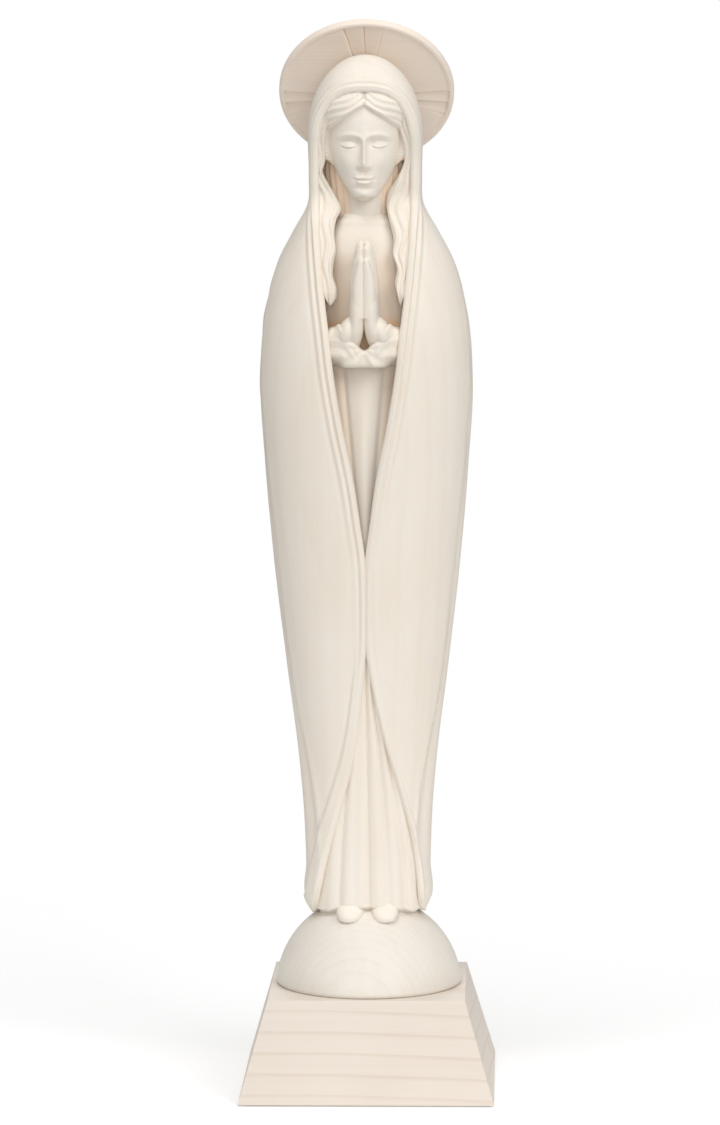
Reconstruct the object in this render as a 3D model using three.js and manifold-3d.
// A carved praying figure of natural maple: a cloaked woman who stands on a half globe, on a
// pedestal shaped like a cut-off pyramid, with a round halo doweled to the back of the hood.
// Millimetres. +Z is up, the figure faces -Y, and the origin is the middle of the footprint.
import * as THREE from "three";
import { LoftGeometry } from "three/addons/geometries/LoftGeometry.js";
import { mergeVertices } from "three/addons/utils/BufferGeometryUtils.js";
import Module from "manifold-3d";

const wasm = await Module();
wasm.setup();

// ---- Driving dimensions ----
const GAP = 0.3; // between carved faces that meet

const FELT_PROUD = 0.5; // the pads hold the pedestal this far off the table
const FELT_THICKNESS = 1;
const FELT_RADIUS = 6;
const FELT_INSET = 11; // pad centre to the pedestal's side

const PEDESTAL_BOTTOM = 79;
const PEDESTAL_TOP = 61;
const PEDESTAL_HEIGHT = 31;
const PEDESTAL_Z = FELT_PROUD;
const GLOBE_Z = PEDESTAL_Z + PEDESTAL_HEIGHT;

const GLOBE_RADIUS = 29.2;
const GLOBE_SUNK = 2; // the ball's centre lies this far below its flat bottom
const GLOBE_SEAT_RADIUS = 8; // the turned flat on top, under the gown
const GLOBE_CENTRE_Z = GLOBE_Z - GLOBE_SUNK;
const GLOBE_TOP_Z = GLOBE_CENTRE_Z + Math.sqrt(GLOBE_RADIUS ** 2 - GLOBE_SEAT_RADIUS ** 2);

const HEM_Z = 54; // lowest edge of the mantle
const HEAD_WIDEST_Z = 297;
const TOP_Z = 321.7; // crown of the hood
const HEAD_Y = -2.5; // middle of the hood, front to back

const HALO_RADIUS = 27.2;
const HALO_THICKNESS = 2.6;
const HALO_BEVEL = 0.8;
const HALO_LEAN = THREE.MathUtils.degToRad(36); // the top leans forward
const HALO_CENTRE = new THREE.Vector3(0, 13.5, 309.2); // middle of its front face
const HALO_DOWEL_UP = 4; // from the halo's centre up to its dowel

const DOWEL_RADIUS = 2;
const DOWEL_PLAY = 0.1; // radial room for glue
const FIGURE_DOWEL_X = 5.5;
const FIGURE_DOWEL_DEPTH = 10; // into the globe, and the same into the gown
const HALO_DOWEL_DEPTH = 1.6; // into the halo
const HALO_DOWEL_LENGTH = 5.6;

const SCREW_RADIUS = 2.2;
const SCREW_HEAD_RADIUS = 4.2;
const SCREW_HEAD_HEIGHT = 2.6;
const SCREW_LENGTH = 42;
const SCREW_SUNK = 3; // head below the pedestal's underside

// ---- Materials ----
function wood(color) {
  return new THREE.MeshStandardMaterial({ color, roughness: 0.62, metalness: 0 });
}
const carvedMaple = wood(0xefe4d2);
const haloMaple = wood(0xe6d3bf);
const pedestalMaple = wood(0xe9dccb);
const beechDowel = wood(0xd8b88c);
const zincSteel = new THREE.MeshStandardMaterial({ color: 0xb9bcc0, roughness: 0.35, metalness: 1 });
const felt = new THREE.MeshStandardMaterial({ color: 0x6d675e, roughness: 0.95, metalness: 0 });

// ---- Helpers ----
// A smooth value along the height, through [height, value] pairs with rising heights.
function along(...pairs) {
  const last = pairs.length - 1;
  const slope = (i) => {
    const [z0, v0] = pairs[Math.max(i - 1, 0)];
    const [z1, v1] = pairs[Math.min(i + 1, last)];
    return (v1 - v0) / (z1 - z0);
  };
  return (z) => {
    if (z <= pairs[0][0]) return pairs[0][1];
    if (z >= pairs[last][0]) return pairs[last][1];
    const i = pairs.findIndex((pair) => pair[0] > z) - 1;
    const [z0, v0] = pairs[i];
    const [z1, v1] = pairs[i + 1];
    const h = z1 - z0;
    const t = (z - z0) / h;
    const bend = h * t * (1 - t);
    const rise = v0 + (v1 - v0) * t * t * (3 - 2 * t);
    return rise + bend * ((1 - t) * slope(i) - t * slope(i + 1));
  };
}

// n + 1 values from a to b.
function steps(a, b, n) {
  return Array.from({ length: n + 1 }, (_, i) => a + ((b - a) * i) / n);
}

// One level ring at height z: a squarish oval of half width w from y = front to y = back.
function ring(z, w, front, back, count, square = 2.3, x = 0) {
  const middle = (front + back) / 2;
  const half = (back - front) / 2;
  return steps(0, 1, count).slice(0, count).map((t) => {
    const c = Math.cos(t * 2 * Math.PI);
    const s = Math.sin(t * 2 * Math.PI);
    const px = Math.sign(c) * Math.abs(c) ** (2 / square);
    const py = Math.sign(s) * Math.abs(s) ** (2 / square);
    return new THREE.Vector3(x + w * px, middle + half * py, z);
  });
}

function loft(sections) {
  return new LoftGeometry(sections, { capStart: true, capEnd: true });
}

// A closed geometry as a manifold-3d solid.
function solid(geometry) {
  const bare = new THREE.BufferGeometry();
  bare.setAttribute("position", geometry.getAttribute("position"));
  if (geometry.index) bare.setIndex(geometry.index);
  const merged = mergeVertices(bare, 1e-4);
  const corners = Array.from(merged.index.array);
  const kept = [];
  for (let i = 0; i < corners.length; i += 3) {
    const [a, b, c] = corners.slice(i, i + 3);
    if (a !== b && b !== c && c !== a) kept.push(a, b, c);
  }
  return new wasm.Manifold(
    new wasm.Mesh({
      numProp: 3,
      vertProperties: merged.getAttribute("position").array,
      triVerts: new Uint32Array(kept),
    }),
  );
}

function joined(...solids) {
  return solids.reduce((a, b) => a.add(b));
}

function cut(body, ...tools) {
  return tools.reduce((a, b) => a.subtract(b), body);
}

// The largest body of a solid, without the loose chips that a cut leaves.
function largest(body) {
  return body.decompose().sort((a, b) => b.volume() - a.volume())[0];
}

function mesh(name, body, material) {
  const { numProp, vertProperties, triVerts } = body.getMesh();
  const count = vertProperties.length / numProp;
  const points = new Float32Array(count * 3);
  for (let i = 0; i < count; i++) {
    points.set(vertProperties.subarray(i * numProp, i * numProp + 3), i * 3);
  }
  const geometry = new THREE.BufferGeometry();
  geometry.setAttribute("position", new THREE.BufferAttribute(points, 3));
  geometry.setIndex(new THREE.BufferAttribute(triVerts, 1));
  geometry.computeVertexNormals();
  const made = new THREE.Mesh(geometry, material);
  made.name = name;
  return made;
}

// A solid of revolution about a vertical axis, from [radius, height] pairs.
function turned(pairs, segments = 32, x = 0, y = 0) {
  const profile = pairs.map(([r, z]) => new THREE.Vector2(r, z));
  const geometry = new THREE.LatheGeometry(profile, segments);
  return solid(geometry.rotateX(Math.PI / 2).translate(x, y, 0));
}

function rod(radius, z0, z1, x = 0, y = 0, segments = 20) {
  return turned([[0, z0], [radius, z0], [radius, z1], [0, z1]], segments, x, y);
}

function egg(centre, axes, lean = 0, across = 20, up = 14) {
  const geometry = new THREE.SphereGeometry(1, across, up);
  geometry.scale(...axes).rotateX(lean).translate(...centre);
  return solid(geometry);
}

// An oval tube through [x, y, z, half width, half depth] stations, with level rings.
function limb(stations, grow = 0, count = 14) {
  const sections = stations.map(([x, y, z, w, d]) =>
    ring(z, w + grow, y - d - grow, y + d + grow, count, 2, x),
  );
  return solid(loft(sections));
}

// ---- Pedestal, globe and their hardware ----
const PAD_CENTRE = PEDESTAL_BOTTOM / 2 - FELT_INSET;
const CORNERS = [[-1, -1], [1, -1], [1, 1], [-1, 1]];
const PAD_SPOTS = CORNERS.map((corner) => corner.map((c) => c * PAD_CENTRE));
const SCREW_Z = PEDESTAL_Z + SCREW_SUNK;

function pedestalSolid() {
  const block = new THREE.CylinderGeometry(
    PEDESTAL_TOP / Math.SQRT2,
    PEDESTAL_BOTTOM / Math.SQRT2,
    PEDESTAL_HEIGHT,
    4,
  );
  block.rotateY(Math.PI / 4).rotateX(Math.PI / 2).translate(0, 0, PEDESTAL_Z + PEDESTAL_HEIGHT / 2);
  const pocket = FELT_RADIUS + GAP;
  const pockets = PAD_SPOTS.map(([x, y]) => rod(pocket, PEDESTAL_Z - 1, FELT_THICKNESS, x, y));
  const shank = SCREW_RADIUS + GAP;
  const head = SCREW_HEAD_RADIUS + GAP;
  const bore = turned([
    [0, PEDESTAL_Z - 1],
    [head, PEDESTAL_Z - 1],
    [head, SCREW_Z],
    [shank, SCREW_Z + SCREW_HEAD_HEIGHT],
    [shank, GLOBE_Z + 1],
    [0, GLOBE_Z + 1],
  ]);
  return cut(solid(block), bore, ...pockets);
}

// The ball's outline, from the flat bottom round to the turned seat. grow moves it outwards.
function globeProfile(grow = 0, arcs = 9) {
  const radius = GLOBE_RADIUS + grow;
  const bottom = Math.asin((GLOBE_SUNK - grow) / radius);
  const top = Math.acos(GLOBE_SEAT_RADIUS / radius);
  const arc = steps(bottom, top, arcs).map((a) => [
    radius * Math.cos(a),
    GLOBE_CENTRE_Z + radius * Math.sin(a),
  ]);
  return [[0, GLOBE_Z - grow], ...arc, [0, arc[arcs][1]]];
}

function screwSolid(grow = 0) {
  const r = SCREW_RADIUS + grow;
  const tip = SCREW_Z + SCREW_LENGTH;
  const body = turned(
    [
      [0, SCREW_Z],
      [SCREW_HEAD_RADIUS, SCREW_Z],
      [SCREW_HEAD_RADIUS, SCREW_Z + 0.4],
      [r, SCREW_Z + SCREW_HEAD_HEIGHT],
      [r, tip - 5],
      [0, tip + grow],
    ],
    24,
  );
  const slots = [0, Math.PI / 2].map((turn) =>
    solid(new THREE.BoxGeometry(4.6, 1, 3).rotateZ(turn).translate(0, 0, SCREW_Z)),
  );
  return cut(body, ...slots);
}

const figureDowels = [-1, 1].map((side) => (grow) =>
  rod(
    DOWEL_RADIUS + grow,
    GLOBE_TOP_Z - FIGURE_DOWEL_DEPTH - grow,
    GLOBE_TOP_Z + FIGURE_DOWEL_DEPTH + grow,
    side * FIGURE_DOWEL_X,
    0,
    16,
  ),
);

function globeSolid() {
  const dowelHoles = figureDowels.map((dowel) => dowel(DOWEL_PLAY));
  return cut(turned(globeProfile(), 44), screwSolid(DOWEL_PLAY), ...dowelHoles);
}

// ---- Halo, built level and then leant forward about its centre ----
function leant(body) {
  const lean = new THREE.Matrix4().makeRotationX(Math.PI / 2 + HALO_LEAN);
  lean.setPosition(HALO_CENTRE);
  return body.transform(lean.toArray());
}

// Its front face looks along +Z before the lean, so the back is at -thickness.
function haloPlate(grow = 0) {
  const r = HALO_RADIUS + grow;
  return turned(
    [
      [0, -HALO_THICKNESS - grow],
      [r, -HALO_THICKNESS - grow],
      [r, grow - HALO_BEVEL],
      [r - HALO_BEVEL, grow],
      [0, grow],
    ],
    56,
  );
}

function haloDowel(grow = 0) {
  const z0 = -HALO_DOWEL_DEPTH - grow;
  return leant(rod(DOWEL_RADIUS + grow, z0, z0 + HALO_DOWEL_LENGTH + 2 * grow, 0, HALO_DOWEL_UP, 16));
}

// ---- The figure's outlines, by height ----
const mantleWidth = along(
  [54, 17.2], [57.5, 19.3], [70, 19.5], [86, 20.1], [102, 21.4], [133, 25.3], [165, 29], [196, 31.7],
  [222, 33.1], [243, 31.4], [258, 27.4], [268, 22.2], [276, 17.9], [284, 17.5], [HEAD_WIDEST_Z, 17.8],
);
const mantleFront = along(
  [54, -13.4], [60, -15], [100, -17.4], [140, -20.8], [180, -23.6], [215, -25], [240, -23.8],
  [258, -20.2], [270, -17.8], [284, -17.6], [HEAD_WIDEST_Z, -19],
);
const mantleBack = along(
  [54, 14], [60, 15.5], [100, 17.4], [140, 19.6], [180, 21.6], [215, 22.6], [240, 21.6], [258, 18.6],
  [272, 15.2], [284, 14.4], [HEAD_WIDEST_Z, 15],
);
// Half of the opening between the mantle's edges: the V over the gown, up to the arch of the hood.
const upperOpening = [
  [0.4, 167], [1.7, 177], [3.9, 192], [7.2, 208], [10.2, 226], [11.6, 238], [12.7, 247], [13.9, 259],
  [14.7, 268], [15.6, 278], [15.8, 289], [15, 299], [12.9, 306], [10.2, 309], [6, 310.8], [0, 311.4],
];
// The slit that opens again over the feet, left edge and right edge.
const lowerLeft = [
  [-0.4, 142], [-1.4, 128], [-4.4, 105], [-8.3, 90], [-11.5, 79.5], [-15, 66], [-16.6, 45],
];
const lowerRight = [
  [0.4, 142], [2.3, 128], [5.9, 111], [10.4, 95.5], [14.4, 81], [16.5, 68], [17, 45],
];

const GOWN_BOTTOM_Z = 56.8;
const GOWN_TOP_Z = 273;
const gownWidth = along(
  [56, 16.4], [70, 15.8], [100, 16.2], [150, 18], [200, 19.6], [235, 19.6], [256, 16.2], [268, 11.4],
  [GOWN_TOP_Z, 7.6],
);
const gownFront = along(
  [56, -13.8], [70, -14.2], [100, -15.4], [142, -18.2], [180, -18.4], [222, -17.4], [240, -15],
  [256, -13.8], [268, -11.8], [GOWN_TOP_Z, -9.2],
);
const gownBack = along(
  [56, 10], [100, 12.4], [180, 15.6], [225, 16.4], [256, 12], [268, 7], [GOWN_TOP_Z, 4],
);

// 1 up to the hood's widest height, then falling to 0 at the crown as an ellipse does.
function crownRound(z) {
  const t = Math.max(0, (z - HEAD_WIDEST_Z) / (TOP_Z - HEAD_WIDEST_Z));
  return Math.sqrt(Math.max(0, 1 - t * t));
}

function mantleBlock() {
  const body = steps(HEM_Z, HEAD_WIDEST_Z, 26);
  const crown = steps(0.22, 0.97, 7).map(
    (t) => HEAD_WIDEST_Z + (TOP_Z - HEAD_WIDEST_Z) * Math.sin((t * Math.PI) / 2),
  );
  return solid(
    loft(
      [...body, ...crown].map((z) => {
        const k = crownRound(z);
        const front = HEAD_Y + (mantleFront(z) - HEAD_Y) * k;
        const back = HEAD_Y + (mantleBack(z) - HEAD_Y) * k;
        return ring(z, mantleWidth(z) * k, front, back, 40);
      }),
    ),
  );
}

// A prism of a front-view outline, from y = near to y = far.
function frontPrism(outline, near, far) {
  const shape = new THREE.Shape(outline.map(([x, z]) => new THREE.Vector2(x, z)));
  const geometry = new THREE.ExtrudeGeometry(shape, { depth: far - near, bevelEnabled: false });
  return solid(geometry.rotateX(Math.PI / 2).translate(0, far, 0));
}

function gownColumn(grow = 0) {
  const rows = steps(GOWN_BOTTOM_Z - grow, GOWN_TOP_Z + grow, 18);
  const rings = rows.map((z) =>
    ring(z, gownWidth(z) + grow, gownFront(z) - grow, gownBack(z) + grow, 28),
  );
  return solid(loft(rings));
}

const HEAD_BOW = THREE.MathUtils.degToRad(12);
const NECK_BOTTOM_Z = 262; // the neck's foot, set into the gown
// The bowed head by height: half width, front and back.
const headWidth = along(
  [277.6, 2.4], [279.4, 4.6], [283, 7.2], [288, 9.6], [294, 11.4], [300, 11.9], [306, 11.4], [311, 9.2],
  [316, 4],
);
const headFront = along(
  [277.6, -14], [279.4, -15], [283, -15.2], [290, -15.8], [298, -16.3], [303, -16], [308, -14.2],
  [312, -11.2], [316, -7],
);
const headBack = along(
  [277.6, -9], [279.4, -6], [283, -1], [288, 4.6], [294, 8.4], [300, 9.6], [306, 9], [311, 6.4],
  [316, 0.6],
);
const HEAD_LEVELS = [277.6, 279.4, 283, 287, 291, 295, 299, 303, 307, 311, 314, 316];

function headSolid(grow = 0) {
  const levels = HEAD_LEVELS.map((z, i) => (i === 0 ? z - grow : z));
  levels.push(levels.pop() + grow);
  const skull = loft(
    levels.map((z) => ring(z, headWidth(z) + grow, headFront(z) - grow, headBack(z) + grow, 24, 2.1)),
  );
  const nose = limb(
    [
      [0, -16, 286.4, 1.6, 1.6],
      [0, -16.6, 287.6, 1.5, 2.3],
      [0, -16, 291, 0.9, 1.6],
      [0, -15.4, 295, 0.6, 0.9],
    ],
    grow,
    8,
  );
  const neck = rod(6.6 + grow, NECK_BOTTOM_Z - grow, 286, 0, -3.6);
  return joined(solid(skull), nose, neck);
}

// Hair that lies round the head under the hood, with the face left open.
function hairCap(grow = 0) {
  const cap = egg([0, -3, 299.8], [14.6 + grow, 14.6 + grow, 19.2 + grow], HEAD_BOW, 24, 16);
  const behind = frontPrism([[-30, 262], [30, 262], [30, 330], [-30, 330]], -3 + grow, 40);
  const half = [[9.6 - grow, 262], [11 - grow, 290], [9 - grow, 301]];
  const outline = [...half, [0, 306.5 - grow], ...half.map(([x, z]) => [-x, z]).reverse()];
  const face = frontPrism(outline, -40, -9 - grow);
  const under = frontPrism([[-30, 262], [30, 262], [30, 289 - grow], [-30, 289 - grow]], -40, 40);
  return cut(cap, face, under, behind);
}

// One lock of hair beside the face, from the temple down to the breast. side is -1 or 1.
function lock(side, grow = 0) {
  return limb(
    [
      [side * 9.8, -18.6, 246, 0.9, 1.2],
      [side * 10.6, -18.2, 250, 1.9, 2],
      [side * 11.3, -16, 259, 2.1, 2.1],
      [side * 11.7, -13.4, 269, 2.6, 2.4],
      [side * 11.5, -11.6, 276, 3.2, 2.6],
      [side * 13, -10.8, 283, 2, 2.6],
      [side * 13.3, -10.8, 289, 1.7, 2.6],
      [side * 13.1, -11.2, 294, 1.5, 2.2],
    ],
    grow,
    12,
  );
}

// One hand held upright against the other, little finger forwards.
function hand(side, grow = 0) {
  return limb(
    [
      [side * 3.9, -18.6, 232, 2.9, 4],
      [side * 3.75, -19.4, 236, 3.3, 5],
      [side * 2.85, -20.4, 243, 2.55, 5.4],
      [side * 2.6, -21.2, 251, 2.3, 4.8],
      [side * 2, -21.6, 259, 1.7, 3.6],
      [side * 1.6, -21.2, 264.5, 1.1, 2],
    ],
    grow,
    14,
  );
}

// One sleeve, from inside the mantle in to the wrist. It hangs down to a straight lower edge.
const SLEEVE_DROP_Z = 226.8;
function sleeve(side, grow = 0) {
  const stations = [
    [0.25, -22.6, 237.2, SLEEVE_DROP_Z, 3.6],
    [4, -21.6, 238.6, SLEEVE_DROP_Z, 4.4],
    [8, -19.8, 239.2, SLEEVE_DROP_Z, 5.2],
    [14, -15, 238, 224, 6],
    [22, -7, 234, 216, 6.4],
  ];
  const sections = stations.map(([x, y, top, bottom, depth]) => {
    const count = 14;
    return steps(0, 1, count).slice(0, count).map((t) => {
      const c = Math.cos(t * 2 * Math.PI);
      const s = Math.sin(t * 2 * Math.PI);
      const half = (top - bottom) / 2 + grow;
      const inward = side * Math.max(x - (x < 1 ? grow : 0), 0.1);
      return new THREE.Vector3(inward, y + side * (depth + grow) * c, (top + bottom) / 2 + half * s);
    });
  });
  return solid(loft(sections));
}

function shoe(side, grow = 0) {
  return limb(
    [
      [side * 5.3, -10, 50, 3.6, 6.4],
      [side * 5.3, -10.4, 53.4, 3.9, 6.8],
      [side * 5.3, -10, 56.4, 3.5, 5.8],
      [side * 5.3, -9, 58.6, 2.4, 4],
    ],
    grow,
    16,
  );
}

// ---- Fitting the pieces to each other: each is cut by the grown shape of those before it ----
const sides = [-1, 1];
const globeRoom = turned(globeProfile(GAP), 44);
const gown = largest(
  cut(
    gownColumn(),
    globeRoom,
    headSolid(GAP),
    ...figureDowels.map((dowel) => dowel(DOWEL_PLAY)),
    ...sides.map((side) => shoe(side, GAP)),
  ),
);
const shoes = sides.map((side) => largest(cut(shoe(side), globeRoom)));
const head = headSolid();
const hair = largest(cut(hairCap(), headSolid(GAP)));
const hands = sides.map((side) => largest(cut(hand(side), gownColumn(GAP))));
const handRoom = sides.map((side) => hand(side, GAP));
const sleeves = sides.map((side) => largest(cut(sleeve(side), gownColumn(GAP), ...handRoom)));
const locks = sides.map((side) =>
  largest(cut(lock(side), gownColumn(GAP), headSolid(GAP), hairCap(GAP), sleeve(side, GAP))),
);

// All that lies behind the halo's front face, which the hood is planed flat against.
const behindHalo = leant(solid(new THREE.BoxGeometry(80, 80, 40).translate(0, 0, -20 + GAP)));
const opening = [
  ...upperOpening.map(([x, z]) => [-x, z]),
  ...upperOpening.slice(0, -1).reverse().map(([x, z]) => [x, z]),
];
const mantle = largest(
  cut(
    mantleBlock(),
    frontPrism(opening, -60, -9),
    frontPrism([...lowerRight, ...[...lowerLeft].reverse()].reverse(), -60, -9),
    gownColumn(GAP),
    headSolid(GAP),
    hairCap(GAP),
    egg([0, -7, 292], [14.6, 14, 18], HEAD_BOW),
    ...sides.flatMap((side) => [lock(side, GAP), sleeve(side, GAP), hand(side, GAP), shoe(side, GAP)]),
    globeRoom,
    behindHalo,
    haloDowel(DOWEL_PLAY),
  ),
);
const halo = cut(leant(haloPlate()), haloDowel(DOWEL_PLAY));

// ---- The assembly ----
const part = new THREE.Group();
part.add(mesh("pedestal", pedestalSolid(), pedestalMaple));
part.add(mesh("pedestal_screw", screwSolid(), zincSteel));
PAD_SPOTS.forEach(([x, y], i) => {
  part.add(mesh(`felt_pad_${i + 1}`, rod(FELT_RADIUS, 0, FELT_THICKNESS, x, y), felt));
});
part.add(mesh("globe", globeSolid(), carvedMaple));
part.add(mesh("gown", gown, carvedMaple));
part.add(mesh("mantle", mantle, carvedMaple));
part.add(mesh("head", head, carvedMaple));
part.add(mesh("hair", hair, carvedMaple));
sides.forEach((side, i) => {
  const name = side < 0 ? "right" : "left"; // the figure's own right is at -X
  part.add(mesh(`figure_dowel_${name}`, figureDowels[i](0), beechDowel));
  part.add(mesh(`hair_lock_${name}`, locks[i], carvedMaple));
  part.add(mesh(`hand_${name}`, hands[i], carvedMaple));
  part.add(mesh(`sleeve_${name}`, sleeves[i], carvedMaple));
  part.add(mesh(`shoe_${name}`, shoes[i], carvedMaple));
});
part.add(mesh("halo", halo, haloMaple));
part.add(mesh("halo_dowel", haloDowel(), beechDowel));

export default part;
